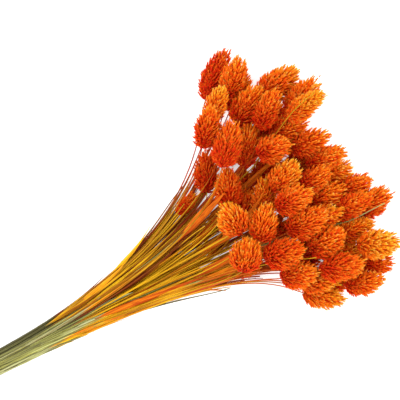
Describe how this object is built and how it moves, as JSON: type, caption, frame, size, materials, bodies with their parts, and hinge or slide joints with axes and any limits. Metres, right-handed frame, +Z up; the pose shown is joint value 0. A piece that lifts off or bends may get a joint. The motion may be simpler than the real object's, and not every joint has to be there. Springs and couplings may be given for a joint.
{
  "type": "bunch of dried canary grass",
  "caption": "Bunch of dyed dried canary grass lying on its side: ovoid seed heads of pointed scales on straw stems fanned out from a band.",
  "frame": {"origin": "under the middle of the bunch's box, on the surface that it lies on", "axes": "+X along the stems towards the heads, +Z up"},
  "size_m": [0.6016, 0.2284, 0.0759],
  "materials": {
    "seed_heads": "dyed dry grass scales, matt, orange with yellow tips",
    "straw": "dyed dry straw, golden, grey-green towards the foot, low sheen",
    "band": "plain tan rubber, matt"
  },
  "bodies": {
    "root": {"head_01": "seed_heads", "head_02": "seed_heads", "head_03": "seed_heads", "head_04": "seed_heads", "head_05": "seed_heads", "head_06": "seed_heads", "head_07": "seed_heads", "head_08": "seed_heads", "head_09": "seed_heads", "head_10": "seed_heads", "head_11": "seed_heads", "head_12": "seed_heads", "head_13": "seed_heads", "head_14": "seed_heads", "head_15": "seed_heads", "head_16": "seed_heads", "head_17": "seed_heads", "head_18": "seed_heads", "head_19": "seed_heads", "head_20": "seed_heads", "head_21": "seed_heads", "head_22": "seed_heads", "head_23": "seed_heads", "head_24": "seed_heads", "head_25": "seed_heads", "head_26": "seed_heads", "head_27": "seed_heads", "head_28": "seed_heads", "head_29": "seed_heads", "head_30": "seed_heads", "head_31": "seed_heads", "head_32": "seed_heads", "head_33": "seed_heads", "head_34": "seed_heads", "head_35": "seed_heads", "head_36": "seed_heads", "head_37": "seed_heads", "head_38": "seed_heads", "head_39": "seed_heads", "head_40": "seed_heads", "head_41": "seed_heads", "head_42": "seed_heads", "head_43": "seed_heads", "head_44": "seed_heads", "head_45": "seed_heads", "head_46": "seed_heads", "head_47": "seed_heads", "head_48": "seed_heads", "head_49": "seed_heads", "head_50": "seed_heads", "head_51": "seed_heads", "head_52": "seed_heads", "head_53": "seed_heads", "head_54": "seed_heads", "head_55": "seed_heads", "head_56": "seed_heads", "head_57": "seed_heads", "head_58": "seed_heads", "stems": "straw", "band": "band"}
  },
  "joints": []
}
